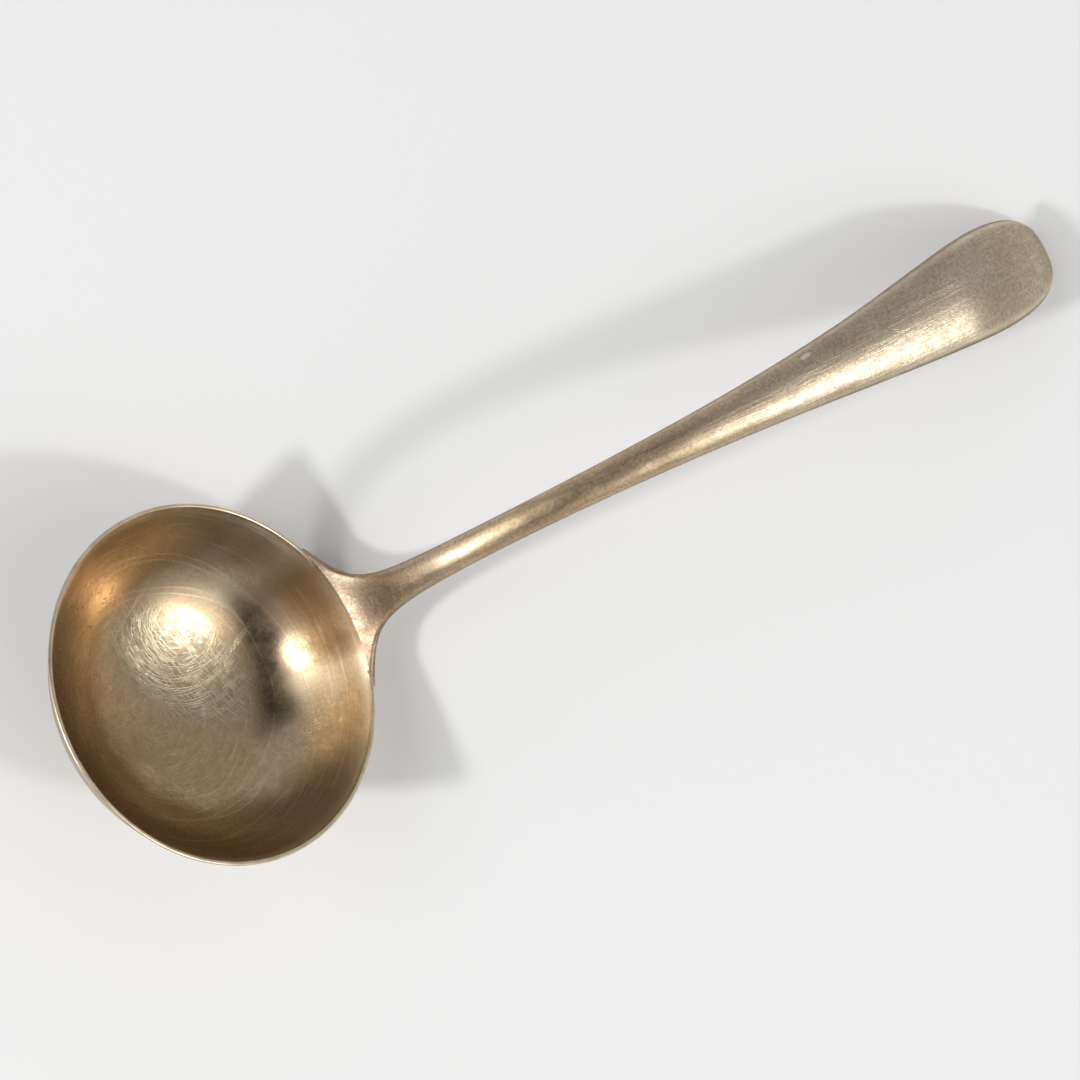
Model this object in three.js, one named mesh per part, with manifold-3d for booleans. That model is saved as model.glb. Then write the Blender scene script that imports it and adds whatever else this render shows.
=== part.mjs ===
// Sauce ladle: a round raised bowl, and a forged stem of Old English form soldered to its wall.
// Millimetres. The ladle is drawn about its bowl, with the origin at the centre of the rim, +Z out of
// the mouth and +X towards the stem. The last group tips it over until bowl and tip touch Z = 0.
import * as THREE from 'three';
import Module from 'manifold-3d';
import { mergeVertices } from 'three/addons/utils/BufferGeometryUtils.js';

// Bowl
const bowlRadius = 29.2;
const bowlDepth = 20;
const bowlWall = 1;
const rimWall = 0.6; // the wall thins out towards the rim
const rimFlare = 30; // degrees between the wall and the bowl's axis, at the rim
const rimCrown = 0.25; // height of the rounded lip
const bottomPull = 22; // how far the bottom stays shallow before it turns up
const wallPull = 7; // how long the wall keeps the direction of its flare

// Stem, along its own length
const stemReach = 107.3; // from the bowl's axis to the crest
const stemRise = 74.6; // from the rim to the crest
const crestSlope = 21; // degrees at the crest
const neckPull = 14;
const crestPull = 93.4;
const endStraight = 11.5; // crest to the bend of the turned-down end
const endDrop = 14.5; // bend to the tip
const endSlope = 24; // degrees that the tip points below the rim's plane

// Stem, across and through
const neckWidth = 4;
const flareWidth = 21.2; // what the stem would gain by its tip, were it not rounded off
const flarePower = 3;
const endLength = 40; // stretch over which the end is rounded off
const endPower = 2.8;
const shoulderWidth = 21.5; // what the shoulders add at the rim
const shoulderReach = 2.4; // the smaller, the tighter the shoulders' sweep into the stem
const shoulderPower = 1.3;
const neckHeight = 16; // distance above the rim at which the shoulders have become the neck
const neckFront = 1.7; // thickness in front of the stem's line
const neckBack = 1.8; // thickness behind it
const endFront = 0.9;
const endBack = 0.9;
const edgeLength = 2.5; // stretch over which the tip thins to a soft edge
const backSpread = 0.1; // how much wider the back is than the front, as a share

// Joint of stem and bowl
const dropLength = 10; // tongue behind the wall, down from the rim
const dropWidth = 9;
const heelThickness = 1.5;
const heelTip = 0.5; // thickness of the tongue at its lower end
const solderThickness = 0.2;
const solderBead = 0.2; // how far the solder shows past the tongue
const fitClearance = 0.15; // between solder and each piece

// Worn spots on which the ladle lies
const restWear = 0.15;

// Fineness
const turns = 72;
const wallSteps = 18;
const lipSteps = 4;
const sectionSteps = 24;

const wasm = await Module();
wasm.setup();

const radians = (degrees) => THREE.MathUtils.degToRad(degrees);
const ease = (value, from, to) => THREE.MathUtils.smoothstep(value, from, to);
const mix = THREE.MathUtils.lerp;

// Finishes
const wornPlate = new THREE.MeshStandardMaterial({ color: 0xbfa678, roughness: 0.28, metalness: 1 });
const wornBar = new THREE.MeshStandardMaterial({ color: 0xc4ac80, roughness: 0.3, metalness: 1 });
const greySolder = new THREE.MeshStandardMaterial({ color: 0x9c8f74, roughness: 0.45, metalness: 1 });

// Closed solids to and from the boolean library
function toSolid(geometry) {
  const bare = geometry.clone();
  bare.deleteAttribute('normal');
  bare.deleteAttribute('uv');
  const merged = mergeVertices(bare, 1e-5);
  return new wasm.Manifold(new wasm.Mesh({
    numProp: 3,
    vertProperties: new Float32Array(merged.attributes.position.array),
    triVerts: new Uint32Array(merged.index.array),
  }));
}

function toGeometry(solid) {
  const { numProp, vertProperties, triVerts } = solid.getMesh();
  const points = [];
  for (const vertex of triVerts) {
    const start = vertex * numProp;
    points.push(vertProperties[start], vertProperties[start + 1], vertProperties[start + 2]);
  }
  const geometry = new THREE.BufferGeometry();
  geometry.setAttribute('position', new THREE.Float32BufferAttribute(points, 3));
  geometry.computeVertexNormals();
  return geometry;
}

// Half outline of the bowl, from the middle of its bottom to its rim, at a distance inside its outer
// face, or outside it where that is negative. All faces and fits of the bowl come from this curve.
function wallCurve(inset, rimInset = inset) {
  const flare = radians(rimFlare);
  const rim = new THREE.Vector2(bowlRadius - rimInset / Math.cos(flare), 0);
  const shrink = (bowlDepth - inset) / bowlDepth;
  return new THREE.CubicBezierCurve(
    new THREE.Vector2(0, inset - bowlDepth),
    new THREE.Vector2(bottomPull * shrink, inset - bowlDepth),
    new THREE.Vector2(rim.x - wallPull * shrink * Math.sin(flare), -wallPull * shrink * Math.cos(flare)),
    rim,
  );
}

function revolve(outline) {
  return toSolid(new THREE.LatheGeometry(outline, turns).rotateX(Math.PI / 2));
}

function bowlSolid() {
  const outer = wallCurve(0).getPoints(wallSteps);
  const inner = wallCurve(bowlWall, rimWall).getPoints(wallSteps).reverse();
  const lipMiddle = (outer.at(-1).x + inner[0].x) / 2;
  const lipHalf = (outer.at(-1).x - inner[0].x) / 2;
  const lip = [];
  for (let step = 1; step < lipSteps; step += 1) {
    const angle = (Math.PI * step) / lipSteps;
    lip.push(new THREE.Vector2(lipMiddle + lipHalf * Math.cos(angle), rimCrown * Math.sin(angle)));
  }
  return revolve([...outer, ...lip, ...inner]);
}

// The bowl with its hollow filled, grown by a gap on the wall and above the lip
function filledBowl(gap) {
  const wall = wallCurve(-gap).getPoints(wallSteps);
  const top = rimCrown + gap;
  return revolve([...wall, new THREE.Vector2(wall.at(-1).x, top), new THREE.Vector2(0, top)]);
}

// The stem's line: up the bowl's wall, on in the same direction, over to the crest and down at the end.
// It is measured along its length from the rim, so points on the wall have a negative distance.
const wallLine = wallCurve(0);
const crest = new THREE.Vector2(stemReach, stemRise);
const crestWay = new THREE.Vector2(Math.cos(radians(crestSlope)), Math.sin(radians(crestSlope)));
const endWay = new THREE.Vector2(Math.cos(radians(endSlope)), -Math.sin(radians(endSlope)));
const rimWay = new THREE.Vector2(Math.sin(radians(rimFlare)), Math.cos(radians(rimFlare)));
const bend = crest.clone().addScaledVector(crestWay, endStraight);
const stemLine = new THREE.CurvePath();
stemLine.add(wallLine);
stemLine.add(new THREE.CubicBezierCurve(
  wallLine.v3,
  wallLine.v3.clone().addScaledVector(rimWay, neckPull),
  crest.clone().addScaledVector(crestWay, -crestPull),
  crest,
));
stemLine.add(new THREE.QuadraticBezierCurve(crest, bend, bend.clone().addScaledVector(endWay, endDrop)));
const wallLength = wallLine.getLength();
const stemLength = stemLine.getLength() - wallLength;

// Half width of the stem: neck, widening blade with a rounded end, and shoulders swept out to the rim
function halfWidth(along) {
  if (along < 0) {
    const down = -along / dropLength;
    const spread = neckWidth + shoulderWidth - dropWidth;
    const shoulders = spread / (1 - along / shoulderReach) ** shoulderPower;
    return ((dropWidth + shoulders) / 2) * Math.sqrt(1 - down ** 3);
  }
  const blade = neckWidth + flareWidth * (along / stemLength) ** flarePower;
  const end = Math.max(0, 1 - (stemLength - along) / endLength);
  const shoulders = shoulderWidth / (1 + along / shoulderReach) ** shoulderPower;
  return ((blade + shoulders) / 2) * Math.sqrt(1 - end ** endPower);
}

// Thicknesses in front of and behind the stem's line, and how square each side's section is
function sectionAt(along) {
  const joint = solderThickness + 2 * fitClearance;
  const half = halfWidth(along);
  if (along < 0) {
    const down = -along / dropLength;
    return {
      half,
      front: rimWall / 2,
      back: joint + mix(heelThickness, heelTip, ease(down, 0, 1)),
      frontPower: 4,
      backPower: 2.2,
    };
  }
  const neck = ease(along, 0, neckHeight);
  const blade = along / stemLength;
  const tip = ease(stemLength - along, -edgeLength / 2, edgeLength);
  return {
    half,
    front: mix(mix(rimWall, neckFront, neck), endFront, blade) * tip,
    back: mix(mix(joint + heelThickness, neckBack, neck), endBack, blade) * tip,
    frontPower: mix(mix(4, 2.2, neck), 3, blade),
    backPower: mix(2.2, 3, blade),
  };
}

// One ring of the stem. Near the rim it bends round the bowl, and higher up it is straight across.
function stemRing(along, grow) {
  const place = (wallLength + along) / (wallLength + stemLength);
  const point = stemLine.getPoint(place);
  const way = stemLine.getTangent(place);
  const { half, front, back, frontPower, backPower } = sectionAt(along);
  const straight = ease(along, 1, neckHeight);
  const ring = [];
  for (let step = 0; step < sectionSteps; step += 1) {
    const angle = (2 * Math.PI * step) / sectionSteps;
    const forward = Math.sin(angle) >= 0;
    const power = 2 / (forward ? frontPower : backPower);
    const depth = Math.abs(Math.sin(angle)) ** power;
    const through = forward ? depth * front : -depth * back;
    const spread = 1 - (forward ? depth * backSpread : 0);
    const side = Math.sign(Math.cos(angle)) * Math.abs(Math.cos(angle)) ** power;
    const across = side * (half + grow) * spread;
    const radius = point.x - way.y * through;
    const height = point.y + way.x * through;
    const round = across / radius;
    ring.push(new THREE.Vector3(
      mix(radius * Math.cos(round), radius, straight),
      mix(radius * Math.sin(round), across, straight),
      height,
    ));
  }
  return ring;
}

// Places of the rings: close together at the shoulders and the tip, wider along the blade
function ringPlaces() {
  const places = [];
  for (const [from, to, count] of [
    [-dropLength, 0, 10],
    [0, neckHeight, 18],
    [neckHeight, stemLength - endLength, 20],
    [stemLength - endLength, stemLength - edgeLength, 14],
    [stemLength - edgeLength, stemLength, 6],
  ]) {
    for (let step = 0; step < count; step += 1) {
      places.push(mix(from, to, step / count));
    }
  }
  return places.slice(1);
}

// The forged bar as one closed skin through its rings, before the bowl is cut from it
function stemSkin(grow) {
  const rings = ringPlaces().map((along) => stemRing(along, grow));
  const start = stemLine.getPoint((wallLength - dropLength) / (wallLength + stemLength));
  const finish = stemLine.getPoint(1);
  const firstPole = new THREE.Vector3(start.x, 0, start.y);
  const lastPole = new THREE.Vector3(finish.x, 0, finish.y);
  const points = [firstPole, ...rings.flat(), lastPole];
  const last = points.length - 1;
  const faces = [];
  for (let step = 0; step < sectionSteps; step += 1) {
    const next = (step + 1) % sectionSteps;
    faces.push(0, 1 + next, 1 + step);
    for (let ring = 0; ring < rings.length - 1; ring += 1) {
      const low = 1 + ring * sectionSteps;
      const high = low + sectionSteps;
      faces.push(low + step, high + next, high + step, low + step, low + next, high + next);
    }
    const top = last - sectionSteps;
    faces.push(last, top + step, top + next);
  }
  const geometry = new THREE.BufferGeometry().setFromPoints(points);
  geometry.setIndex(faces);
  return toSolid(geometry);
}

function stemSolid() {
  return stemSkin(0).subtract(filledBowl(solderThickness + 2 * fitClearance));
}

// Solder between the bowl's wall and the tongue, and between the lip and the stem that stands on it
function solderSolid() {
  const outside = filledBowl(fitClearance + solderThickness);
  const inside = filledBowl(fitClearance);
  return outside.subtract(inside).intersect(stemSkin(solderBead));
}

// How far a solid hangs below the rim's centre when the ladle is tipped over by an angle
function hang(solid, tilt) {
  const { numProp, vertProperties } = solid.getMesh();
  let lowest = -Infinity;
  for (let start = 0; start < vertProperties.length; start += numProp) {
    const below = vertProperties[start] * Math.sin(tilt) - vertProperties[start + 2] * Math.cos(tilt);
    lowest = Math.max(lowest, below);
  }
  return lowest;
}

// Tilt at which the bowl and the tip of the stem touch the table together
function restTilt(bowl, tip) {
  let low = 0;
  let high = Math.PI / 2;
  for (let step = 0; step < 40; step += 1) {
    const tilt = (low + high) / 2;
    if (hang(tip, tilt) < hang(bowl, tilt)) low = tilt;
    else high = tilt;
  }
  return (low + high) / 2;
}

const bowl = bowlSolid();
const stem = stemSolid();
const outerHalf = wasm.Manifold.cube([4 * stemLength, 4 * stemLength, 4 * stemLength], true)
  .translate([(stemReach + bowlRadius) / 2 + 2 * stemLength, 0, 0]);
const tilt = restTilt(bowl, stem.intersect(outerHalf));
const restHeight = hang(bowl, tilt) - restWear;

// Everything below the table, seen from the tipped ladle
const belowTable = wasm.Manifold.cube([4 * stemLength, 4 * stemLength, stemLength], true)
  .translate([0, 0, -restHeight - stemLength / 2])
  .rotate([0, THREE.MathUtils.radToDeg(-tilt), 0]);

function piece(name, solid, material) {
  const mesh = new THREE.Mesh(toGeometry(solid), material);
  mesh.name = name;
  return mesh;
}

const ladle = new THREE.Group();
ladle.add(piece('bowl', bowl.subtract(belowTable), wornPlate));
ladle.add(piece('stem', stem.subtract(belowTable), wornBar));
ladle.add(piece('solder_seam', solderSolid(), greySolder));
ladle.rotation.y = tilt;
ladle.position.z = restHeight;

// The middle of the ladle's length stands over the origin
const atRest = new THREE.Group();
atRest.add(ladle);
atRest.updateMatrixWorld(true);
const extent = new THREE.Box3().setFromObject(atRest, true);
ladle.position.x = -(extent.min.x + extent.max.x) / 2;

export default atRest;
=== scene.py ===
import math
from bisect import bisect_right

import bmesh
import bpy
from mathutils import Matrix, Vector


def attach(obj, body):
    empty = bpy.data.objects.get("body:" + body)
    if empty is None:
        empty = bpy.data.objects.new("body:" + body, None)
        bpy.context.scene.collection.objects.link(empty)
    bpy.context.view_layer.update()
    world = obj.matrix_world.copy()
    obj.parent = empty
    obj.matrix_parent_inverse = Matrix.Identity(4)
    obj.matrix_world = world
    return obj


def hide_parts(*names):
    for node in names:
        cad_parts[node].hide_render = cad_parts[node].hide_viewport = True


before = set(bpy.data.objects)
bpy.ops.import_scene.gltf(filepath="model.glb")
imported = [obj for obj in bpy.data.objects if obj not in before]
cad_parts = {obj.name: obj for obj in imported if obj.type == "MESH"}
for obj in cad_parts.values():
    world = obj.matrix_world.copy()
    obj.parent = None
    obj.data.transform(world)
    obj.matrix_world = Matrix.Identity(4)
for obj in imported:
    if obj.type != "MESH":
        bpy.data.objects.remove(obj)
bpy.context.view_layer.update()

print("ladle: frame loaded")

# The pieces are drawn in millimetres about the bowl: the middle of the rim is the origin, z points out
# of the mouth and x towards the stem. layDown tips them over onto the table, in metres.
restPose = {
    "tilt": math.radians(37.877317),
    "rimMiddle": (-61.89988, 0.0, 22.97231),
}

meshRules = {
    "sharpAngle": math.radians(50),   # an edge that turns further than this stays sharp
    "sameSpot": 1e-5,                 # in millimetres, vertices this close are one
}


def ease(value, start, end):
    x = min(max((value - start) / (end - start), 0.0), 1.0)
    return x * x * (3 - 2 * x)


def mix(a, b, share):
    return a + (b - a) * share


def bezier(points, t):
    a, b, c, d = points
    return (1 - t) ** 3 * a + 3 * (1 - t) ** 2 * t * b + 3 * (1 - t) * t * t * c + t ** 3 * d


def layDown(bm):
    place = Matrix.Translation(Vector(restPose["rimMiddle"]) / 1000)
    turn = Matrix.Rotation(restPose["tilt"], 4, "Y")
    bmesh.ops.transform(bm, matrix=place @ turn @ Matrix.Scale(0.001, 4), verts=bm.verts)
    for vert in bm.verts:             # worn flat where it rests on the table
        vert.co.z = max(vert.co.z, 0.0)


def addPiece(name, bm, node):
    bmesh.ops.recalc_face_normals(bm, faces=bm.faces)
    layDown(bm)
    mesh = bpy.data.meshes.new(name)
    bm.to_mesh(mesh)
    bm.free()
    mesh.shade_smooth()
    mesh.set_sharp_from_angle(angle=meshRules["sharpAngle"])
    piece = bpy.data.objects.new(name, mesh)
    bpy.context.scene.collection.objects.link(piece)
    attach(piece, "root")
    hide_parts(node)
    return piece


# bowl: raised from sheet that thins out towards a softly crowned lip

bowlSizes = {
    "radius": 29.2,
    "depth": 20.0,
    "wall": 1.0,
    "rimWall": 0.6,                   # the wall thins out towards the rim
    "rimFlare": math.radians(30),     # between the wall and the bowl's axis, at the rim
    "lipCrown": 0.25,
    "bottomPull": 22.0,
    "wallPull": 7.0,
    "turns": 256,
    "wallSteps": 44,
    "lipSteps": 8,
    "lipWear": 2.2,                   # width of the brighter band along the lip
    "filedFrom": 4.0,                 # filed square up to here, inwards from the end of the shoulder
    "filedTo": 0.8,                   # and not at all from here on
    "dent": (12.0, 8.6),              # knocked up from below, beside the place it rests on
    "dentReach": 13.0,
    "dentRise": 0.25,
}


def wallPoints(inset, rimInset):
    s = bowlSizes
    shrink = (s["depth"] - inset) / s["depth"]
    rim = s["radius"] - rimInset / math.cos(s["rimFlare"])
    pull = s["wallPull"] * shrink
    return (
        Vector((0.0, inset - s["depth"])),
        Vector((s["bottomPull"] * shrink, inset - s["depth"])),
        Vector((rim - pull * math.sin(s["rimFlare"]), -pull * math.cos(s["rimFlare"]))),
        Vector((rim, 0.0)),
    )


# stem: one line up the bowl's wall, over to the crest and down at the end

stemSizes = {
    "reach": 107.3,                   # bowl's axis to the crest
    "rise": 74.6,
    "crestSlope": math.radians(21),
    "neckPull": 14.0,
    "crestPull": 93.4,
    "endStraight": 11.5,
    "endDrop": 14.5,
    "endSlope": math.radians(24),
    "endBend": 0.5,                   # 2/3 is the bend that the solids have, and less is softer
    "lineSteps": 600,
    "neckWidth": 4.0,
    "flareWidth": 21.2,
    "flarePower": 3.0,
    "endLength": 40.0,
    "endPower": 2.8,
    "shoulderWidth": 21.5,
    "shoulderReach": 2.4,
    "shoulderPower": 1.3,
    "wrapHeight": 1,                  # below this the stem follows the bowl's round
    "neckHeight": 16.0,
    "neckFront": 1.7,
    "neckBack": 1.8,
    "endFront": 0.9,
    "endBack": 0.9,
    "wallPower": 4.0,                 # a section's squareness: 2 is round, and more is squarer
    "neckPower": 2.2,
    "bladePower": 3.0,
    "edgeLength": 2.5,
    "frontTaper": 0.1,                # how much narrower the front is than the back
    "dropLength": 10.0,
    "dropWidth": 9.0,
    "dropPower": 3,
    "heel": 2.0,                      # back of the tongue from the bowl's wall, at the rim
    "heelTip": 1.0,
    "seam": 0.2,                      # room for the solder
    "arch": 1.5,                      # how far the blade's edges lie below its middle
    "archEnd": 16.0,                  # it fades from here, measured from the tip
    "archGone": 1.0,
    "sway": ((-60, 0.0), (-24, 0.5), (48, -0.5), (92, 0.8)),   # bent a little sideways by use
    "sectionSteps": 72,
    "dropRows": 22,
    "shoulderRows": 44,
    "bladeRows": 46,
    "endRows": 52,
    "dropPull": 2.0,
    "shoulderPull": 1.6,
    "endPull": 2.0,
    "ledge": 1e-4,                    # between two rows at a step or before a point
    # painted shade along the stem's flanks fades out between these, wider at the neck
    "flankShadeFrom": 0.15,
    "flankShadeTo": (0.55, 0.30),          # at the neck and at the tip
    "edgeRise": (0.10, 0.30),
    "edgeFall": (0.35, 0.60),
}


def drawLine():
    s = stemSizes
    flare = bowlSizes["rimFlare"]
    rim = Vector((bowlSizes["radius"], 0.0))
    crest = Vector((s["reach"], s["rise"]))
    rimWay = Vector((math.sin(flare), math.cos(flare)))
    crestWay = Vector((math.cos(s["crestSlope"]), math.sin(s["crestSlope"])))
    endWay = Vector((math.cos(s["endSlope"]), -math.sin(s["endSlope"])))
    bend = crest + crestWay * s["endStraight"]
    tip = bend + endWay * s["endDrop"]
    stretches = (
        wallPoints(0.0, 0.0),
        (rim, rim + rimWay * s["neckPull"], crest - crestWay * s["crestPull"], crest),
        (crest, crest.lerp(bend, s["endBend"]), tip.lerp(bend, s["endBend"]), tip),
    )
    steps = s["lineSteps"]
    points = [stretches[0][0]]
    for stretch in stretches:
        points += [bezier(stretch, n / steps) for n in range(1, steps + 1)]
    lengths = [0.0]
    for a, b in zip(points, points[1:]):
        lengths.append(lengths[-1] + (b - a).length)
    wallLength = lengths[steps]
    return points, [length - wallLength for length in lengths]


linePoints, lineLengths = drawLine()
stemLength = lineLengths[-1]


def onLine(along):
    n = min(max(bisect_right(lineLengths, along), 2), len(linePoints) - 2)
    share = (along - lineLengths[n - 1]) / (lineLengths[n] - lineLengths[n - 1])
    before = (linePoints[n] - linePoints[n - 2]).normalized()
    after = (linePoints[n + 1] - linePoints[n - 1]).normalized()
    return linePoints[n - 1].lerp(linePoints[n], share), before.lerp(after, share).normalized()


def halfWidth(along):
    s = stemSizes
    if along < 0:
        down = min(-along / s["dropLength"], 1.0)
        spread = s["neckWidth"] + s["shoulderWidth"] - s["dropWidth"]
        shoulders = spread / (1 - along / s["shoulderReach"]) ** s["shoulderPower"]
        return (s["dropWidth"] + shoulders) / 2 * math.sqrt(1 - down ** s["dropPower"])
    blade = s["neckWidth"] + s["flareWidth"] * (along / stemLength) ** s["flarePower"]
    shoulders = s["shoulderWidth"] / (1 + along / s["shoulderReach"]) ** s["shoulderPower"]
    end = min(max(1 - (stemLength - along) / s["endLength"], 0.0), 1.0)
    return (blade + shoulders) / 2 * math.sqrt(1 - end ** s["endPower"])


def sectionAt(along):
    # thickness in front of the line and behind it, and how square each of the two is
    s = stemSizes
    if along < 0:
        back = mix(s["heel"], s["heelTip"], ease(-along / s["dropLength"], 0, 1))
        return 0.0, back, s["wallPower"], s["neckPower"]
    neck = ease(along, 0, s["neckHeight"])
    blade = along / stemLength
    tip = ease(stemLength - along, -s["edgeLength"] / 2, s["edgeLength"])
    front = mix(mix(bowlSizes["rimWall"], s["neckFront"], neck), s["endFront"], blade) * tip
    back = mix(mix(s["heel"], s["neckBack"], neck), s["endBack"], blade) * tip
    frontPower = mix(mix(s["wallPower"], s["neckPower"], neck), s["bladePower"], blade)
    return front, back, frontPower, mix(s["neckPower"], s["bladePower"], blade)


def wrapped(along, across, through):
    # near the rim the stem bends round the bowl, and higher up it is straight across
    point, way = onLine(along)
    radius = point.x - way.y * through
    height = point.y + way.x * through
    straight = ease(along, stemSizes["wrapHeight"], stemSizes["neckHeight"])
    angle = across / radius
    x = mix(radius * math.cos(angle), radius, straight)
    y = mix(radius * math.sin(angle), across, straight)
    return Vector((x, y, height))


def stemPoint(along, turn):
    s = stemSizes
    front, back, frontPower, backPower = sectionAt(along)
    forward = math.sin(turn) >= 0
    power = 2 / (frontPower if forward else backPower)
    depth = abs(math.sin(turn)) ** power
    narrow = 1 - (depth * s["frontTaper"] if forward else 0)
    across = math.copysign(abs(math.cos(turn)) ** power, math.cos(turn)) * halfWidth(along) * narrow
    if along < 0:
        through = -s["seam"] if forward else -mix(s["seam"], back, depth)
    else:
        arch = s["arch"] * ease(along, s["neckHeight"], stemLength - s["archEnd"])
        arch *= 1 - ease(along, stemLength - s["archEnd"], stemLength - s["archGone"])
        through = depth * front if forward else -depth * back
        if arch > 0:
            through -= arch * (across / halfWidth(along)) ** 2
    return wrapped(along, across, through), across


def rowPlaces(start, end, count, startPull, endPull):
    # places from start to end, packed closer towards an end whose pull is above 1
    places = []
    for n in range(count):
        t = n / count
        t = 1 - (1 - t) ** endPull if endPull > 1 else t ** startPull
        places.append(mix(start, end, t))
    return places


def loftRings(bm, places, segments, pointAt):
    # a circle pulled from place to place, each ring shaped as its place asks
    turnLayer = bm.verts.layers.float.new("turn")
    alongLayer = bm.verts.layers.float.new("along")
    acrossLayer = bm.verts.layers.float.new("across")
    ring = bmesh.ops.create_circle(bm, cap_ends=False, segments=segments, radius=1)["verts"]
    for vert in ring:
        vert[turnLayer] = math.atan2(vert.co.y, vert.co.x)
    edges = list(bm.edges)
    first = None
    for along in places:
        if first is None:
            first = ring
        else:
            made = bmesh.ops.extrude_edge_only(bm, edges=edges)["geom"]
            ring = [item for item in made if isinstance(item, bmesh.types.BMVert)]
            edges = [item for item in made if isinstance(item, bmesh.types.BMEdge)]
            edges = [edge for edge in edges if edge.is_boundary]
        for vert in ring:
            vert.co, vert[acrossLayer] = pointAt(along, vert[turnLayer])
            vert[alongLayer] = along
    return first, ring


def closeEnd(bm, ring):
    middle = sum((vert.co for vert in ring), Vector()) / len(ring)
    bmesh.ops.pointmerge(bm, verts=ring, merge_co=middle)


def makeStem():
    s = stemSizes
    endStart = stemLength - s["endLength"]
    places = rowPlaces(-s["dropLength"], 0, s["dropRows"], s["dropPull"], 1) + [-s["ledge"]]
    places += rowPlaces(s["ledge"], s["neckHeight"], s["shoulderRows"], s["shoulderPull"], 1)
    places += rowPlaces(s["neckHeight"], endStart, s["bladeRows"], 1, 1)
    places += rowPlaces(endStart, stemLength, s["endRows"], 1, s["endPull"])
    places.append(stemLength - s["ledge"])
    bm = bmesh.new()
    first, last = loftRings(bm, places, s["sectionSteps"], stemPoint)
    closeEnd(bm, first)
    closeEnd(bm, last)
    bmesh.ops.remove_doubles(bm, verts=bm.verts, dist=meshRules["sameSpot"])
    turnLayer = bm.verts.layers.float["turn"]
    alongLayer = bm.verts.layers.float["along"]
    flankShadeLayer = bm.verts.layers.float.new("flankShade")
    edgeLayer = bm.verts.layers.float.new("edge")
    for vert in bm.verts:
        side = abs(math.sin(vert[turnLayer]))
        blade = ease(vert[alongLayer], s["neckHeight"], stemLength)
        # painted shade along both edges of the section, wider at the neck
        vert[flankShadeLayer] = 1 - ease(side, s["flankShadeFrom"], mix(*s["flankShadeTo"], blade))
        vert[edgeLayer] = ease(side, *s["edgeRise"]) * (1 - ease(side, *s["edgeFall"])) * blade
        if math.sin(vert[turnLayer]) < 0:
            vert[edgeLayer] = 0.0
        vert.co.y += sway(vert.co)
    return bm


def sway(co):
    # how far a place on the stem lies to the side, by its x on the table
    x = (Matrix.Rotation(restPose["tilt"], 3, "Y") @ co).x + restPose["rimMiddle"][0]
    pairs = stemSizes["sway"]
    for (start, low), (end, high) in zip(pairs, pairs[1:]):
        if x <= end:
            return mix(low, high, ease(x, start, end))
    return pairs[-1][1]


def makeBowl():
    s = bowlSizes
    bm = bmesh.new()
    lipLayer = bm.verts.layers.float.new("lip")
    wearLayer = bm.verts.layers.float.new("edge")
    insideLayer = bm.verts.layers.float.new("inside")
    steps = [n / s["wallSteps"] for n in range(s["wallSteps"] + 1)]
    outer = [bezier(wallPoints(0.0, 0.0), t) for t in steps]
    inner = [bezier(wallPoints(s["wall"], s["rimWall"]), t) for t in reversed(steps)]
    middle = (outer[-1].x + inner[0].x) / 2
    half = (outer[-1].x - inner[0].x) / 2
    lip = []
    for n in range(1, s["lipSteps"]):
        angle = math.pi * n / s["lipSteps"]
        lip.append(Vector((middle + half * math.cos(angle), s["lipCrown"] * math.sin(angle))))
    verts = []
    for n, point in enumerate(outer + lip + inner):
        vert = bm.verts.new((point.x, 0.0, point.y))
        vert[lipLayer] = min(max((n - s["wallSteps"]) / s["lipSteps"], 0.0), 1.0)
        if n > s["wallSteps"] + s["lipSteps"]:
            vert[lipLayer] = -1.0
        vert[wearLayer] = 1 - ease(-point.y, 0, s["lipWear"])
        vert[insideLayer] = 1.0 if n >= s["wallSteps"] + s["lipSteps"] else 0.0
        verts.append(vert)
    edges = [bm.edges.new(pair) for pair in zip(verts, verts[1:])]
    bmesh.ops.spin(bm, geom=verts + edges, cent=(0, 0, 0), axis=(0, 0, 1), dvec=(0, 0, 0),
                   angle=2 * math.pi, steps=s["turns"], use_merge=True, use_duplicate=False)
    bmesh.ops.remove_doubles(bm, verts=bm.verts, dist=meshRules["sameSpot"])
    for vert in bm.verts:
        away = math.hypot(vert.co.x - s["dent"][0], vert.co.y - s["dent"][1])
        vert.co.z += s["dentRise"] * (1 - ease(away, 0, s["dentReach"]))
    wing = halfWidth(0.0)
    for vert in bm.verts:             # where the stem stands, the lip is filed square to the wall
        share = vert[lipLayer]
        if share <= 0:
            continue
        radius = math.hypot(vert.co.x, vert.co.y)
        reach = abs(math.atan2(vert.co.y, vert.co.x)) * s["radius"]
        filed = 1 - ease(reach, wing - s["filedFrom"], wing - s["filedTo"])
        squareRadius = s["radius"] - math.cos(s["rimFlare"]) * s["rimWall"] * share
        squareHeight = math.sin(s["rimFlare"]) * s["rimWall"] * share
        scale = mix(radius, squareRadius, filed) / radius
        vert.co = (vert.co.x * scale, vert.co.y * scale, mix(vert.co.z, squareHeight, filed))
    return bm


bowlPiece = addPiece("raised_bowl", makeBowl(), "bowl")
stemPiece = addPiece("forged_stem", makeStem(), "stem")
print("ladle: bowl and stem made")


# solder: a thin bed behind the wall, with a small fillet all round the tongue

solderSizes = {
    "bead": 0.35,                     # how far the fillet shows past the tongue
    "thickness": 0.3,
    "top": -0.05,                     # just under the lip, where the bed runs out to nothing
    "fullDepth": 0.3,                 # and how far down it has its full thickness
    "gap": 0.01,                      # from the bowl's wall
    "endPower": 12,
    "squareness": 0.35,
    "rows": 40,
    "rowPull": 2.0,
    "segments": 64,
}


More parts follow.
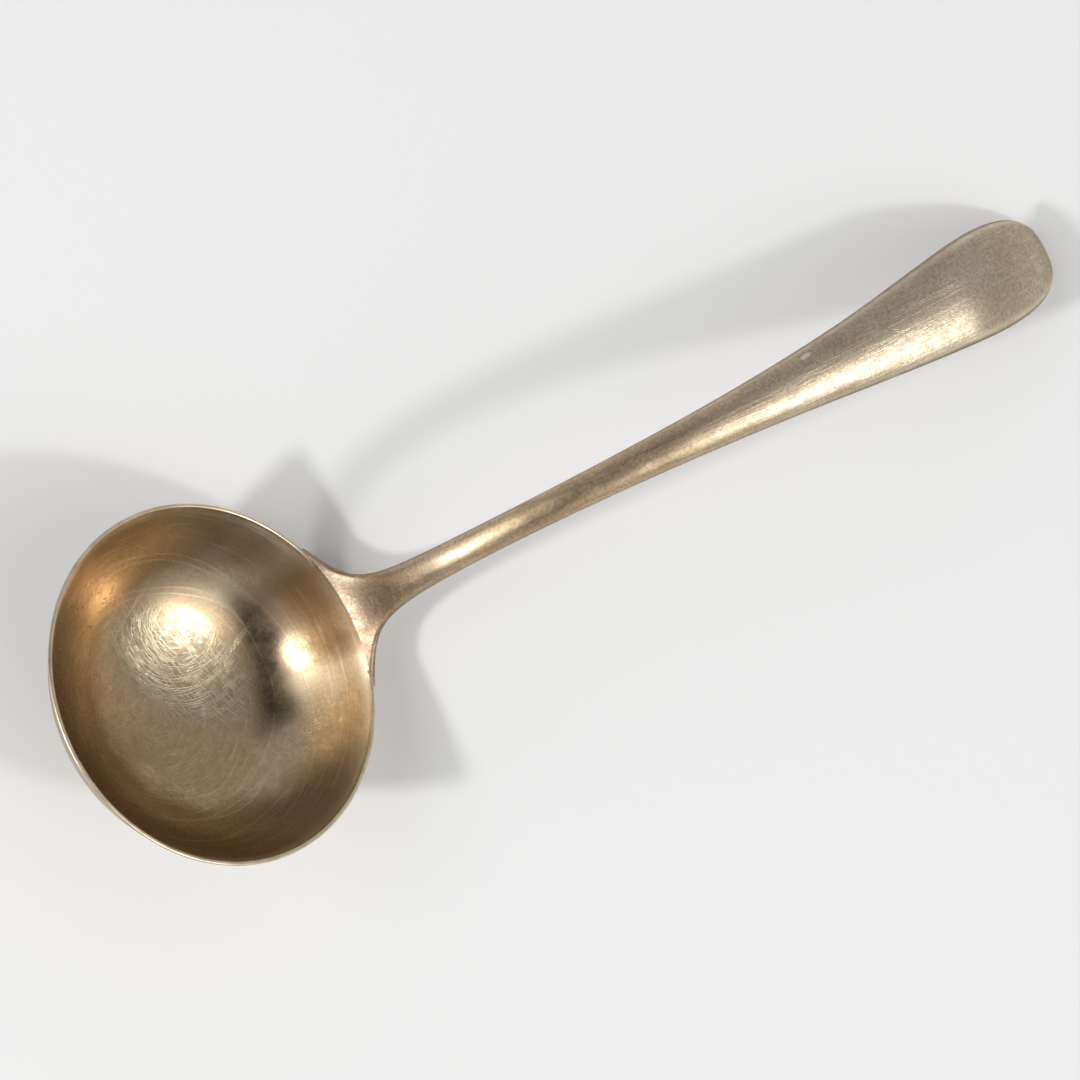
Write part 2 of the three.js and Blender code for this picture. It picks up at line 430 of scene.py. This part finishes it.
def solderPoint(along, turn):
    s = solderSizes
    dropLength = stemSizes["dropLength"]
    lowEnd = dropLength + s["bead"]
    down = min(-along / lowEnd, 1.0)
    half = halfWidth(along * dropLength / lowEnd) + s["bead"]
    half *= math.sqrt(max(1 - down ** s["endPower"], 0.0))
    depth = abs(math.sin(turn)) ** s["squareness"]
    across = math.copysign(abs(math.cos(turn)) ** s["squareness"], math.cos(turn)) * half
    thickness = s["thickness"] * ease(-along, -s["top"], s["fullDepth"])
    through = -s["gap"] if math.sin(turn) >= 0 else -s["gap"] - depth * thickness
    return wrapped(along, across, through), across


def makeSolder():
    s = solderSizes
    lowEnd = stemSizes["dropLength"] + s["bead"]
    bm = bmesh.new()
    places = rowPlaces(-lowEnd, s["top"], s["rows"], s["rowPull"], 1) + [s["top"]]
    lowRing = loftRings(bm, places, s["segments"], solderPoint)[0]
    closeEnd(bm, lowRing)             # the top ring has no thickness left and closes by itself
    bmesh.ops.remove_doubles(bm, verts=bm.verts, dist=meshRules["sameSpot"])
    for vert in bm.verts:
        vert.co.y += sway(vert.co)
    return bm


solderPiece = addPiece("solder_fillet", makeSolder(), "solder_seam")
print("ladle: solder made")


# metals: warm nickel-silver, worn bright on the edges, browned where no hand or cloth reaches; the same
# brown also paints shade at the stem's root and along the stem's flanks


def setInputs(tree, node, inputs):
    for name, value in inputs.items():
        if isinstance(value, bpy.types.NodeSocket):
            tree.links.new(value, node.inputs[name])
        else:
            node.inputs[name].default_value = value


def addNode(tree, kind, inputs=None, **settings):
    node = tree.nodes.new("ShaderNode" + kind)
    for name, value in settings.items():
        setattr(node, name, value)
    setInputs(tree, node, inputs or {})
    return node


def calc(tree, operation, *values):
    return addNode(tree, "Math", dict(enumerate(values)), operation=operation).outputs[0]


def remap(tree, value, start, end, low=0.0, high=1.0):
    inputs = {"Value": value, "From Min": start, "From Max": end, "To Min": low, "To Max": high}
    return addNode(tree, "MapRange", inputs, interpolation_type="SMOOTHSTEP").outputs["Result"]


def blendColor(tree, share, first, second):
    return addNode(tree, "Mix", {0: share, 6: first, 7: second}, data_type="RGBA").outputs[2]


def tint(tree, color, mask, share, over):
    return blendColor(tree, calc(tree, "MULTIPLY", mask, share), color, over)


def opposite(tree, mask):
    return calc(tree, "SUBTRACT", 1.0, mask)


def addShare(tree, value, mask, share):
    return calc(tree, "ADD", value, calc(tree, "MULTIPLY", mask, share))


def onVectors(tree, operation, first, second):
    return addNode(tree, "VectorMath", {0: first, 1: second}, operation=operation)


def combine(tree, x, y, z):
    return addNode(tree, "CombineXYZ", {"X": x, "Y": y, "Z": z}).outputs[0]


def noise(tree, vector, scale, detail=2.0, roughness=0.5):
    inputs = {"Vector": vector, "Scale": scale, "Detail": detail, "Roughness": roughness}
    return addNode(tree, "TexNoise", inputs).outputs["Fac"]


# what the effects shared by the metals have fixed inside them
effects = {
    "scratchBreaks": 0.37,            # size of the breaks in a line, from the lines' own scale
    "scratchLimit": (0.75, 0.5),      # how much is left out, and how far Share brings it back
    "scratchSoftness": 0.06,
    "cloudNoise": (5.0, 0.6),         # each noise by its detail and its roughness
    "mottleScale": 7.0,               # from the scale of the clouds
    "mottleNoise": (4.0, 0.65),
    "grainScale": 19.0,
    "grainNoise": (3.0, 0.8),
    "grainLevels": (0.38, 0.64),
    "pitFloor": 0.5,                  # how much of a pit is its dark middle
    "wearNoise": (3.0, 0.6),
    "wearLevels": (0.3, 0.7),
    "wearLeast": 0.45,
    "unevenNoise": (1.0, 0.4),
}


def startGroup(name, inputs, outputs):
    group = bpy.data.node_groups.new(name, "ShaderNodeTree")
    for label, kind, value in inputs:
        socket = group.interface.new_socket(label, in_out="INPUT", socket_type="NodeSocket" + kind)
        if value is not None:
            socket.default_value = value
    for label in outputs:
        group.interface.new_socket(label, in_out="OUTPUT", socket_type="NodeSocketFloat")
    return group, group.nodes.new("NodeGroupInput").outputs, group.nodes.new("NodeGroupOutput").inputs


def makeScratchGroup():
    # thin broken lines that run along x of the vector, turned by an angle
    inputs = [("Vector", "Vector", None), ("Scale", "Float", 2000.0), ("Length", "Float", 30.0),
              ("Turn", "Float", 0.0), ("Width", "Float", 0.03), ("Share", "Float", 0.5)]
    group, given, out = startGroup("fine scratches", inputs, ["Mask"])
    turned = addNode(group, "VectorRotate", {"Vector": given["Vector"], "Angle": given["Turn"]},
                     rotation_type="Z_AXIS").outputs[0]
    alongScale = calc(group, "DIVIDE", given["Scale"], given["Length"])
    stretch = combine(group, alongScale, given["Scale"], given["Scale"])
    lined = onVectors(group, "MULTIPLY", turned, stretch).outputs[0]
    level = noise(group, lined, 1.0, 0.0)
    off = calc(group, "ABSOLUTE", calc(group, "SUBTRACT", level, 0.5))
    line = opposite(group, remap(group, off, 0.0, given["Width"]))
    broken = noise(group, lined, effects["scratchBreaks"], 1.0)
    most, fall = effects["scratchLimit"]
    limit = calc(group, "SUBTRACT", most, calc(group, "MULTIPLY", given["Share"], fall))
    kept = remap(group, broken, limit, calc(group, "ADD", limit, effects["scratchSoftness"]))
    group.links.new(calc(group, "MULTIPLY", line, kept), out["Mask"])
    return group


def makeTarnishGroup():
    # broad clouds, mottling inside them and fine grain
    inputs = [("Vector", "Vector", None), ("Scale", "Float", 60.0), ("Contrast", "Float", 0.2)]
    group, given, out = startGroup("tarnish", inputs, ["Clouds", "Mottle", "Grain"])
    low = calc(group, "SUBTRACT", 0.5, given["Contrast"])
    high = calc(group, "ADD", 0.5, given["Contrast"])
    clouds = noise(group, given["Vector"], given["Scale"], *effects["cloudNoise"])
    group.links.new(remap(group, clouds, low, high), out["Clouds"])
    mottleScale = calc(group, "MULTIPLY", given["Scale"], effects["mottleScale"])
    mottle = noise(group, given["Vector"], mottleScale, *effects["mottleNoise"])
    group.links.new(remap(group, mottle, low, high), out["Mottle"])
    grainScale = calc(group, "MULTIPLY", given["Scale"], effects["grainScale"])
    grain = noise(group, given["Vector"], grainScale, *effects["grainNoise"])
    group.links.new(remap(group, grain, *effects["grainLevels"]), out["Grain"])
    return group


def makePitGroup():
    # a few small dark pits, only in some cells
    inputs = [("Vector", "Vector", None), ("Scale", "Float", 150.0), ("Size", "Float", 0.05),
              ("Share", "Float", 0.1)]
    group, given, out = startGroup("pits", inputs, ["Mask"])
    cells = addNode(group, "TexVoronoi", {"Vector": given["Vector"], "Scale": given["Scale"]})
    innerSize = calc(group, "MULTIPLY", given["Size"], effects["pitFloor"])
    near = opposite(group, remap(group, cells.outputs["Distance"], innerSize, given["Size"]))
    chance = addNode(group, "SeparateColor", {0: cells.outputs["Color"]}).outputs[0]
    chosen = calc(group, "LESS_THAN", chance, given["Share"])
    group.links.new(calc(group, "MULTIPLY", near, chosen), out["Mask"])
    return group


def makeWearGroup():
    # edges rubbed bright, more in some places than in others
    inputs = [("Vector", "Vector", None), ("Edge", "Float", 0.0), ("Scale", "Float", 300.0)]
    group, given, out = startGroup("edge wear", inputs, ["Mask"])
    patchy = noise(group, given["Vector"], given["Scale"], *effects["wearNoise"])
    patchy = remap(group, patchy, *effects["wearLevels"], effects["wearLeast"], 1.0)
    group.links.new(calc(group, "MULTIPLY", given["Edge"], patchy), out["Mask"])
    return group


scratchGroup = makeScratchGroup()
tarnishGroup = makeTarnishGroup()
pitGroup = makePitGroup()
wearGroup = makeWearGroup()


def useGroup(tree, group, inputs):
    node = tree.nodes.new("ShaderNodeGroup")
    node.node_tree = group
    setInputs(tree, node, inputs)
    return node.outputs


def startMetal(name):
    material = bpy.data.materials.new(name)
    material.use_nodes = True
    tree = material.node_tree
    shader = tree.nodes["Principled BSDF"]
    shader.inputs["Metallic"].default_value = 1.0
    return material, tree, shader


def attribute(tree, name):
    return addNode(tree, "Attribute", attribute_name=name).outputs["Fac"]


def finishMetal(tree, shader, color, roughness, heights):
    # heights: a value and its depth in metres, from the broadest form to the finest
    tree.links.new(color, shader.inputs["Base Color"])
    tree.links.new(roughness, shader.inputs["Roughness"])
    normal = None
    for height, depth in heights:
        inputs = {"Height": height, "Distance": depth, "Strength": 1.0}
        if normal is not None:
            inputs["Normal"] = normal
        normal = addNode(tree, "Bump", inputs).outputs["Normal"]
    tree.links.new(normal, shader.inputs["Normal"])


bowlMetal = {
    "golden": (0.47, 0.32, 0.165, 1.0),
    "champagne": (0.57, 0.425, 0.265, 1.0),
    "rubbed": (0.28, 0.25, 0.175, 1.0),
    "rubbedShare": 0.75,
    "pale": (0.70, 0.58, 0.415, 1.0),
    "paleShare": 0.6,
    "paleWay": (0.992, -0.129, 0.0),
    "paleEdge": (-0.004, 0.012),      # in metres along that way, from the middle of the rim
    "paleRadius": (0.013, 0.022),
    # painted shade at the stem's root: the plate there is darkened, with fewer scratches and bright edges
    "rootShadeShare": 0.95,
    "rootShadeWay": (0.9945, 0.1045, 0.0),
    "rootShadeEdge": (0.91, 0.98),        # cosine of the angle from that way
    "rootShadeRadius": (0.021, 0.026),
    "rootShadeHides": (0.3, 0.15),        # what is left of scratches and of bright edges in the painted shade at the root
    # brown of tarnish, also laid on as painted shade at the stem's root
    "tarnishAndShade": (0.20, 0.115, 0.05, 1.0),
    "brownRadius": (0.019, 0.029),
    "brownShare": (0.15, 0.6),
    "brownOnPale": 0.2,
    "mottleShare": 0.24,
    "grainShare": 0.22,
    "bright": (0.84, 0.74, 0.56, 1.0),
    "lineShare": 0.6,
    "wearShare": 0.8,
    "pit": (0.05, 0.035, 0.02, 1.0),
    "scourMiddle": (0.0070, 0.0050, -0.0170),    # in metres from the middle of the rim
    "scourTurn": (0.0, 0.0, math.radians(-56)),
    "scourHalf": (0.0155, 0.0085, 0.0155),
    "scourEdge": (0.55, 1.15),
    "scourLeast": 0.55,
    "strokeMiddle": (0.0094, 0.0120, 0.0),
    "aroundScale": 0.015,             # makes a length in metres of an angle
    "rings": {"Scale": 2600.0, "Length": 45.0, "Width": 0.05, "Share": 0.75},
    "ringShare": (0.1, 0.4),          # outside the bowl and inside it
    "arcs": {"Scale": 2400.0, "Length": 20.0, "Width": 0.07, "Share": 0.8},
    "strokes": {"Scale": 2300.0, "Length": 13.0, "Turn": math.radians(72), "Width": 0.09, "Share": 0.9},
    "crossed": {"Scale": 1700.0, "Length": 26.0, "Turn": math.radians(-35), "Width": 0.03, "Share": 0.35},
    "crossedRadius": (0.016, 0.025),
    "crossedShare": 0.55,
    "tarnish": {"Scale": 70.0, "Contrast": 0.3},
    "pits": {"Scale": 170.0, "Size": 0.07, "Share": 0.035},
    "pitDepth": 3.0,                  # in scratches
    "wearScale": 220.0,
    "roughness": (0.20, 0.26),
    "rougherScoured": 0.06,
    "rougherGrain": 0.04,
    "rougherRim": 0.08,
    "rougherAtRoot": 0.2,
    "unevenScale": 110.0,
    "unevenDepth": 0.00028,
    "grainHeight": 0.15,
    "scratchDepth": 0.000016,
}


def makeBowlMetal():
    s = bowlMetal
    material, tree, shader = startMetal("worn plate")
    ownPlace = addNode(tree, "Mapping", {
        "Vector": addNode(tree, "TexCoord").outputs["Object"],
        "Location": Vector(restPose["rimMiddle"]) / 1000,
        "Rotation": (0.0, restPose["tilt"], 0.0),
    }, vector_type="TEXTURE").outputs[0]
    inside = attribute(tree, "inside")
    edge = attribute(tree, "edge")

    def aroundPoint(middle):
        # a length for the way round the point, the distance from its axis and the height over it
        moved = onVectors(tree, "SUBTRACT", ownPlace, middle).outputs[0]
        part = addNode(tree, "SeparateXYZ", {0: moved}).outputs
        flat = combine(tree, part["X"], part["Y"], 0.0)
        radius = addNode(tree, "VectorMath", {0: flat}, operation="LENGTH").outputs["Value"]
        angle = calc(tree, "ARCTAN2", part["Y"], part["X"])
        return calc(tree, "MULTIPLY", angle, s["aroundScale"]), radius, part["Z"]

    def scratches(vector, kind):
        return useGroup(tree, scratchGroup, {"Vector": vector, **s[kind]})["Mask"]

    def towards(way):
        return onVectors(tree, "DOT_PRODUCT", ownPlace, way).outputs["Value"]

    # turned: fine rings about the bowl's own axis, left by the polishing cloth
    around, radius, height = aroundPoint((0.0, 0.0, 0.0))
    meridian = calc(tree, "SUBTRACT", radius, height)
    rings = scratches(combine(tree, around, meridian, 0.0), "rings")
    # scoured: arcs and strokes where the bowl was rubbed clean
    strokeAround, strokeRadius = aroundPoint(s["strokeMiddle"])[:2]
    arcs = scratches(combine(tree, strokeAround, strokeRadius, 0.0), "arcs")
    flat = onVectors(tree, "MULTIPLY", ownPlace, (1.0, 1.0, 0.0)).outputs[0]
    strokes = scratches(flat, "strokes")
    crossed = scratches(flat, "crossed")
    scourPlace = addNode(tree, "Mapping", {
        "Vector": ownPlace, "Location": s["scourMiddle"], "Rotation": s["scourTurn"],
        "Scale": s["scourHalf"]}, vector_type="TEXTURE").outputs[0]
    scourSpot = addNode(tree, "VectorMath", {0: scourPlace}, operation="LENGTH").outputs["Value"]
    tarnish = useGroup(tree, tarnishGroup, {"Vector": ownPlace, **s["tarnish"]})
    patchy = remap(tree, tarnish["Mottle"], 0.0, 1.0, s["scourLeast"], 1.0)
    scoured = calc(tree, "MULTIPLY", opposite(tree, remap(tree, scourSpot, *s["scourEdge"])), patchy)
    scoured = calc(tree, "MULTIPLY", scoured, inside)
    marks = calc(tree, "MULTIPLY", calc(tree, "MAXIMUM", arcs, strokes), scoured)
    low = opposite(tree, remap(tree, radius, *s["crossedRadius"]))
    crossed = calc(tree, "MULTIPLY", crossed, calc(tree, "MULTIPLY", low, s["crossedShare"]))
    marks = calc(tree, "MAXIMUM", marks, crossed)
    ringShare = remap(tree, inside, 0.0, 1.0, *s["ringShare"])
    lines = calc(tree, "MAXIMUM", marks, calc(tree, "MULTIPLY", rings, ringShare))

    pits = useGroup(tree, pitGroup, {"Vector": ownPlace, **s["pits"]})["Mask"]
    wear = useGroup(tree, wearGroup, {"Vector": ownPlace, "Edge": edge, "Scale": s["wearScale"]})["Mask"]
    # paler towards the stem's side, and painted shade darkens the plate at the stem's root
    pale = remap(tree, towards(s["paleWay"]), *s["paleEdge"])
    pale = calc(tree, "MULTIPLY", pale, remap(tree, radius, *s["paleRadius"]))
    # painted shade: darkens the plate at the stem's root
    rootShade = remap(tree, calc(tree, "DIVIDE", towards(s["rootShadeWay"]), radius), *s["rootShadeEdge"])
    rootShade = calc(tree, "MULTIPLY", rootShade, remap(tree, radius, *s["rootShadeRadius"]))
    nearRim = remap(tree, radius, *s["brownRadius"])
    tarnishAndShade = calc(tree, "MULTIPLY", nearRim, remap(tree, tarnish["Clouds"], 0.0, 1.0, *s["brownShare"]))
    tarnishAndShade = calc(tree, "MULTIPLY", tarnishAndShade, remap(tree, pale, 0.0, 1.0, 1.0, s["brownOnPale"]))
    tarnishAndShade = calc(tree, "MAXIMUM", tarnishAndShade, calc(tree, "MULTIPLY", rootShade, s["rootShadeShare"]))
    linesLeft, wearLeft = s["rootShadeHides"]
    lines = calc(tree, "MULTIPLY", lines, remap(tree, rootShade, 0.0, 1.0, 1.0, linesLeft))
    wear = calc(tree, "MULTIPLY", wear, remap(tree, rootShade, 0.0, 1.0, s["wearShare"], wearLeft))

    color = blendColor(tree, tarnish["Clouds"], s["golden"], s["champagne"])
    color = tint(tree, color, pale, s["paleShare"], s["pale"])
    color = tint(tree, color, scoured, s["rubbedShare"], s["rubbed"])
    color = blendColor(tree, tarnishAndShade, color, s["tarnishAndShade"])
    color = tint(tree, color, tarnish["Mottle"], s["mottleShare"], s["tarnishAndShade"])
    color = tint(tree, color, tarnish["Grain"], s["grainShare"], s["tarnishAndShade"])
    color = tint(tree, color, lines, s["lineShare"], s["bright"])
    color = blendColor(tree, wear, color, s["bright"])
    color = blendColor(tree, pits, color, s["pit"])

    roughness = remap(tree, tarnish["Mottle"], 0.0, 1.0, *s["roughness"])
    roughness = addShare(tree, roughness, scoured, s["rougherScoured"])
    roughness = addShare(tree, roughness, tarnish["Grain"], s["rougherGrain"])
    roughness = addShare(tree, roughness, nearRim, s["rougherRim"])
    roughness = addShare(tree, roughness, rootShade, s["rougherAtRoot"])

    uneven = noise(tree, ownPlace, s["unevenScale"], *effects["unevenNoise"])
    cut = addShare(tree, lines, pits, s["pitDepth"])
    fine = calc(tree, "SUBTRACT", calc(tree, "MULTIPLY", tarnish["Grain"], s["grainHeight"]), cut)
    finishMetal(tree, shader, color, roughness, [(uneven, s["unevenDepth"]), (fine, s["scratchDepth"])])
    return material


stemMetal = {
    "champagne": (0.70, 0.60, 0.45, 1.0),
    "grey": (0.60, 0.52, 0.39, 1.0),
    "greyPlace": (0.070, 0.138),      # places along the stem, in metres from the rim
    "pink": (0.78, 0.61, 0.46, 1.0),
    "pinkShare": 0.8,
    "pinkPlace": (0.000, 0.016),
    "golden": (0.70, 0.51, 0.31, 1.0),
    "goldenShare": 0.75,
    "goldenFrom": (0.014, 0.030),
    "goldenTo": (0.050, 0.095),
    # brown of tarnish, also laid on as painted shade along the flanks
    "tarnishAndShade": (0.20, 0.125, 0.065, 1.0),
    "cloudShare": 0.30,
    "mottleShare": 0.20,
    "grainShare": 0.40,
    # painted shade on the stem's flanks
    "flankShadeShare": 0.6,
    "bright": (0.84, 0.75, 0.58, 1.0),
    "lineShare": 0.35,
    "wearShare": 0.6,
    "nickShare": 0.9,
    "pit": (0.05, 0.035, 0.02, 1.0),
    "nick": (0.0885, 0.0034, 0.0),    # along the stem and across it, in metres
    "nickTurn": math.radians(-8),
    "nickHalf": (0.0011, 0.0004),
    "nickEdge": (0.6, 1.1),
    "nickDepth": 4.0,                 # in scratches
    "long": {"Scale": 2400.0, "Length": 40.0, "Turn": math.radians(2), "Width": 0.05, "Share": 0.8},
    "longShare": 0.6,
    "slanted": {"Scale": 1500.0, "Length": 14.0, "Turn": math.radians(38), "Width": 0.03, "Share": 0.2},
    "crossed": {"Scale": 1600.0, "Length": 12.0, "Turn": math.radians(-62), "Width": 0.03, "Share": 0.15},
    "tarnish": {"Scale": 90.0, "Contrast": 0.22},
    "pits": {"Scale": 260.0, "Size": 0.07, "Share": 0.04},
    "pitDepth": 3.0,
    "wearScale": 250.0,
    "roughness": (0.34, 0.42),
    "rougherAtBowl": 0.08,
    "unevenScale": 130.0,
    "unevenDepth": 0.00025,
    "grainHeight": 0.5,
    "scratchDepth": 0.000016,
}


def makeStemMetal():
    s = stemMetal
    material, tree, shader = startMetal("worn bar")
    along = calc(tree, "MULTIPLY", attribute(tree, "along"), 0.001)    # millimetres to metres
    across = calc(tree, "MULTIPLY", attribute(tree, "across"), 0.001)
    lie = combine(tree, along, across, 0.0)
    flankShade = attribute(tree, "flankShade")
    edge = attribute(tree, "edge")
    tarnish = useGroup(tree, tarnishGroup, {"Vector": lie, **s["tarnish"]})
    long = useGroup(tree, scratchGroup, {"Vector": lie, **s["long"]})["Mask"]
    slanted = useGroup(tree, scratchGroup, {"Vector": lie, **s["slanted"]})["Mask"]
    crossed = useGroup(tree, scratchGroup, {"Vector": lie, **s["crossed"]})["Mask"]
    lines = calc(tree, "MULTIPLY", long, s["longShare"])
    lines = calc(tree, "MAXIMUM", lines, calc(tree, "MAXIMUM", slanted, crossed))
    pits = useGroup(tree, pitGroup, {"Vector": lie, **s["pits"]})["Mask"]
    wear = useGroup(tree, wearGroup, {"Vector": lie, "Edge": edge, "Scale": s["wearScale"]})["Mask"]
    # one bright nick on the stem's upper edge
    nickWay = onVectors(tree, "SUBTRACT", lie, s["nick"]).outputs[0]
    nickWay = addNode(tree, "VectorRotate", {"Vector": nickWay, "Angle": s["nickTurn"]},
                      rotation_type="Z_AXIS").outputs[0]
    nickLong, nickWide = s["nickHalf"]
    nickWay = onVectors(tree, "MULTIPLY", nickWay, (1 / nickLong, 1 / nickWide, 1.0)).outputs[0]
    nickRound = addNode(tree, "VectorMath", {0: nickWay}, operation="LENGTH").outputs["Value"]
    nick = opposite(tree, remap(tree, nickRound, *s["nickEdge"]))

    towardsEnd = remap(tree, along, *s["greyPlace"])
    atBowl = opposite(tree, remap(tree, along, *s["pinkPlace"]))
    narrow = remap(tree, along, *s["goldenFrom"])
    narrow = calc(tree, "SUBTRACT", narrow, remap(tree, along, *s["goldenTo"]))
    color = blendColor(tree, towardsEnd, s["champagne"], s["grey"])
    color = tint(tree, color, atBowl, s["pinkShare"], s["pink"])
    color = tint(tree, color, narrow, s["goldenShare"], s["golden"])
    color = tint(tree, color, tarnish["Clouds"], s["cloudShare"], s["tarnishAndShade"])
    color = tint(tree, color, tarnish["Mottle"], s["mottleShare"], s["tarnishAndShade"])
    color = tint(tree, color, tarnish["Grain"], s["grainShare"], s["tarnishAndShade"])
    # painted shade darkens the stem's flanks
    color = tint(tree, color, flankShade, s["flankShadeShare"], s["tarnishAndShade"])
    color = tint(tree, color, lines, s["lineShare"], s["bright"])
    color = tint(tree, color, wear, s["wearShare"], s["bright"])
    color = tint(tree, color, nick, s["nickShare"], s["bright"])
    color = blendColor(tree, pits, color, s["pit"])

    roughness = remap(tree, tarnish["Mottle"], 0.0, 1.0, *s["roughness"])
    roughness = addShare(tree, roughness, atBowl, s["rougherAtBowl"])
    uneven = noise(tree, lie, s["unevenScale"], *effects["unevenNoise"])
    cut = addShare(tree, lines, pits, s["pitDepth"])
    fine = calc(tree, "SUBTRACT", calc(tree, "MULTIPLY", tarnish["Grain"], s["grainHeight"]), cut)
    fine = calc(tree, "SUBTRACT", fine, calc(tree, "MULTIPLY", nick, s["nickDepth"]))
    finishMetal(tree, shader, color, roughness, [(uneven, s["unevenDepth"]), (fine, s["scratchDepth"])])
    return material


solderMetal = {
    "grey": (0.46, 0.42, 0.34, 1.0),
    "dull": (0.20, 0.15, 0.10, 1.0),
    "tarnish": {"Scale": 160.0, "Contrast": 0.18},
    "roughness": (0.35, 0.55),
    "mottleDepth": 0.00003,
}


def makeSolderMetal():
    s = solderMetal
    material, tree, shader = startMetal("hard solder")
    place = addNode(tree, "TexCoord").outputs["Object"]
    tarnish = useGroup(tree, tarnishGroup, {"Vector": place, **s["tarnish"]})
    color = blendColor(tree, tarnish["Clouds"], s["grey"], s["dull"])
    roughness = remap(tree, tarnish["Mottle"], 0.0, 1.0, *s["roughness"])
    finishMetal(tree, shader, color, roughness, [(tarnish["Mottle"], s["mottleDepth"])])
    return material


bowlPiece.data.materials.append(makeBowlMetal())
stemPiece.data.materials.append(makeStemMetal())
solderPiece.data.materials.append(makeSolderMetal())
print("ladle: metals made")


# table, light and camera

studio = {
    "floorSize": 6.0,
    "floorColor": (0.86, 0.86, 0.86, 1.0),
    "floorRoughness": 0.9,
    "floorShine": 0.1,
    "roomColor": (0.98, 0.985, 1.0, 1.0),
    "roomStrength": 0.52,
    "darkWay": (-0.943, 0.332, 0.0),  # the unlit ceiling, overhead and to the left
    "darkHeight": (0.67, 0.77),
    "darkSpread": (-0.26, -0.04),
    "darkColor": (0.03, 0.028, 0.025, 1.0),
    "glowWays": ((0.602, -0.813, 1.0), (-1.03, 0.42, 1.0)),
    "glowColor": (3.2, 3.17, 3.1, 1.0),
    "glowSpread": (math.cos(math.radians(32)), math.cos(math.radians(6))),
    "rightWay": (0.602, -0.813, 1.0),
    "rightPower": 3.4,
    "rightSize": 0.15,
    "leftWay": (-1.22, 0.098, 1.0),
    "leftPower": 6.2,
    "leftSize": 0.14,
    "panelWay": (-0.736, 0.162, 1.0),
    "panelPower": 7.0,
    "panelSize": 0.32,
    "panelHeight": 0.2,
    "endWay": (0.57, -0.36, 0.76),
    "endPower": 1.7,
    "endSize": 0.3,
    "lampDistance": 1.3,
}

cameraSettings = {
    "place": (-0.00673, -0.00353, 0.8),
    "roll": math.radians(-27.4),
    "lens": 166.4,
    "sensor": 36.0,
}


def makeFloor():
    bm = bmesh.new()
    bmesh.ops.create_grid(bm, x_segments=1, y_segments=1, size=studio["floorSize"] / 2)
    mesh = bpy.data.meshes.new("table_paper")
    bm.to_mesh(mesh)
    bm.free()
    floor = bpy.data.objects.new("table_paper", mesh)
    bpy.context.scene.collection.objects.link(floor)
    material = bpy.data.materials.new("white paper")
    material.use_nodes = True
    shader = material.node_tree.nodes["Principled BSDF"]
    shader.inputs["Base Color"].default_value = studio["floorColor"]
    shader.inputs["Roughness"].default_value = studio["floorRoughness"]
    shader.inputs["Specular IOR Level"].default_value = studio["floorShine"]
    mesh.materials.append(material)
    return floor


def addSoftbox(name, way, power, size, height=None):
    light = bpy.data.lights.new(name, "AREA")
    light.shape = "ELLIPSE"
    light.size = size
    light.size_y = height or size
    light.energy = power
    lamp = bpy.data.objects.new(name, light)
    bpy.context.scene.collection.objects.link(lamp)
    way = Vector(way).normalized()
    lamp.location = way * studio["lampDistance"]
    lamp.rotation_euler = way.to_track_quat("Z", "Y").to_euler()
    return lamp


def lightOnly(lamp, lit):
    receivers = bpy.data.collections.new(f"lit by the {lamp.name}")
    for piece in lit:
        receivers.objects.link(piece)
    lamp.light_linking.receiver_collection = receivers


def makeRoom():
    s = studio
    world = bpy.data.worlds.new("room")
    bpy.context.scene.world = world
    world.use_nodes = True
    tree = world.node_tree
    back = tree.nodes["Background"]
    back.inputs["Strength"].default_value = s["roomStrength"]
    looking = addNode(tree, "TexCoord").outputs["Generated"]

    def towards(way):
        return onVectors(tree, "DOT_PRODUCT", looking, Vector(way).normalized()).outputs["Value"]

    up = addNode(tree, "SeparateXYZ", {"Vector": looking}).outputs["Z"]
    dark = remap(tree, towards(s["darkWay"]), *s["darkSpread"])
    dark = calc(tree, "MULTIPLY", remap(tree, up, *s["darkHeight"]), dark)
    color = blendColor(tree, dark, s["roomColor"], s["darkColor"])
    for way in s["glowWays"]:         # the wall behind each softbox is lit too
        color = blendColor(tree, remap(tree, towards(way), *s["glowSpread"]), color, s["glowColor"])
    tree.links.new(color, back.inputs["Color"])


def makeCamera():
    data = bpy.data.cameras.new("overhead")
    data.sensor_width = cameraSettings["sensor"]
    data.lens = cameraSettings["lens"]
    camera = bpy.data.objects.new("overhead", data)
    bpy.context.scene.collection.objects.link(camera)
    camera.location = cameraSettings["place"]
    camera.rotation_euler = (0.0, 0.0, cameraSettings["roll"])
    bpy.context.scene.camera = camera


paper = makeFloor()
addSoftbox("right softbox", studio["rightWay"], studio["rightPower"], studio["rightSize"])
leftBox = addSoftbox("left softbox", studio["leftWay"], studio["leftPower"], studio["leftSize"])
panel = addSoftbox("upper left panel", studio["panelWay"], studio["panelPower"],
                   studio["panelSize"], studio["panelHeight"])
endPanel = addSoftbox("right panel", studio["endWay"], studio["endPower"], studio["endSize"])
lightOnly(leftBox, [paper, stemPiece, solderPiece])
lightOnly(endPanel, [stemPiece])      # mirrored along the lower side of the stem's end
lightOnly(panel, [bowlPiece])         # in the bowl this panel stands in for the left softbox
makeRoom()
makeCamera()
bpy.context.scene.view_settings.view_transform = "Standard"
print("ladle: table, light and camera set")
